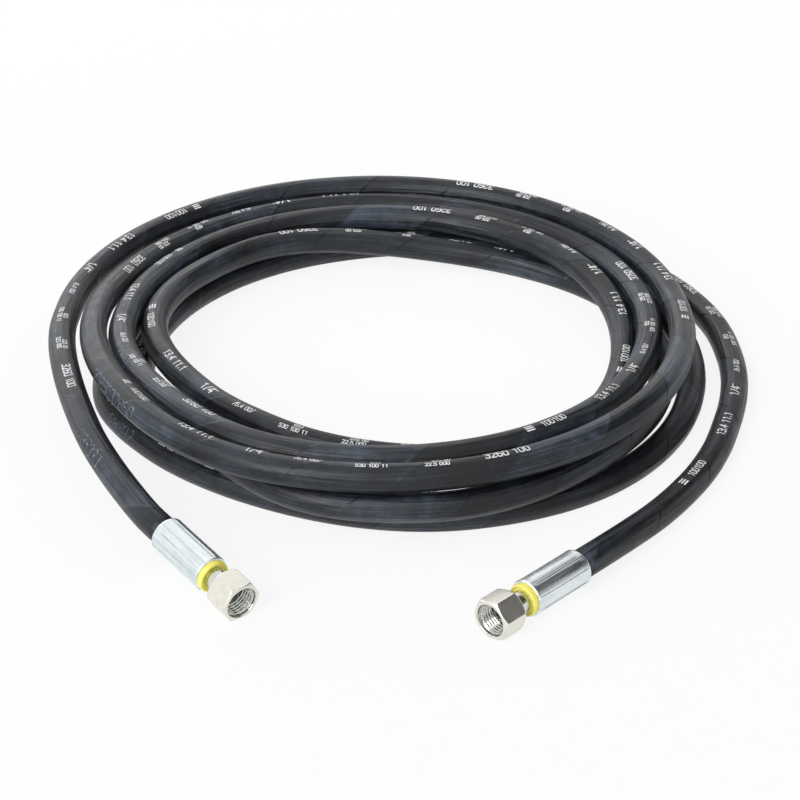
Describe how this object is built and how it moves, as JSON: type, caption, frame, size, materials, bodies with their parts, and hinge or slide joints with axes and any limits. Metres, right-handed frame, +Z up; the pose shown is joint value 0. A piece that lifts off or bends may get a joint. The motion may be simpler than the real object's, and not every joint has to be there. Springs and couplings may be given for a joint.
{
  "type": "hydraulic hose assembly",
  "caption": "Rubber hydraulic hose with a wire braid, laid in a layered coil, with a crimped ferrule, a yellow ring and a free-turning female nut at each end.",
  "frame": {"origin": "On the floor, midway between the two fittings: the centre of the box round everything but the hose itself, at its lowest level.", "axes": "+Z is up, square to the floor that the coil lies on. +X runs from the left fitting to the right fitting. The coil lies behind them, towards +Y."},
  "size_m": [0.3469, 0.4092, 0.0414],
  "materials": {
    "cover_rubber": "matt black rubber cover with faint wrap marks",
    "brassed_wire": "brass-coated steel wire braid",
    "liner_rubber": "smooth black nitrile rubber",
    "zinc_plated_steel": "bright zinc plating on turned steel",
    "yellow_plastic": "yellow moulded plastic",
    "seal_rubber": "black nitrile rubber",
    "nut_steel": "pale zinc plating with a faint greenish cast"
  },
  "bodies": {
    "hose": {"hose_coil": "cover_rubber", "hose_lead_left": "cover_rubber", "hose_lead_right": "cover_rubber", "left_cover_end": "cover_rubber", "left_braid_end": "brassed_wire", "left_liner_end": "liner_rubber", "left_insert": "zinc_plated_steel", "left_ferrule": "zinc_plated_steel", "left_ring": "yellow_plastic", "left_o_ring": "seal_rubber", "right_cover_end": "cover_rubber", "right_braid_end": "brassed_wire", "right_liner_end": "liner_rubber", "right_insert": "zinc_plated_steel", "right_ferrule": "zinc_plated_steel", "right_ring": "yellow_plastic", "right_o_ring": "seal_rubber"},
    "left_nut_body": {"left_nut": "nut_steel"},
    "right_nut_body": {"right_nut": "nut_steel"}
  },
  "joints": [
    {"name": "left_nut_spin", "type": "hinge", "parent": "hose", "child": "left_nut_body", "pos_m": [-0.06239, -0.00285, 0.01014], "axis": [0.6313, -0.7659, -0.1219], "continuous": true},
    {"name": "right_nut_spin", "type": "hinge", "parent": "hose", "child": "right_nut_body", "pos_m": [0.05952, -0.01769, 0.00944], "axis": [-0.7009, -0.7133, 0], "continuous": true}
  ]
}
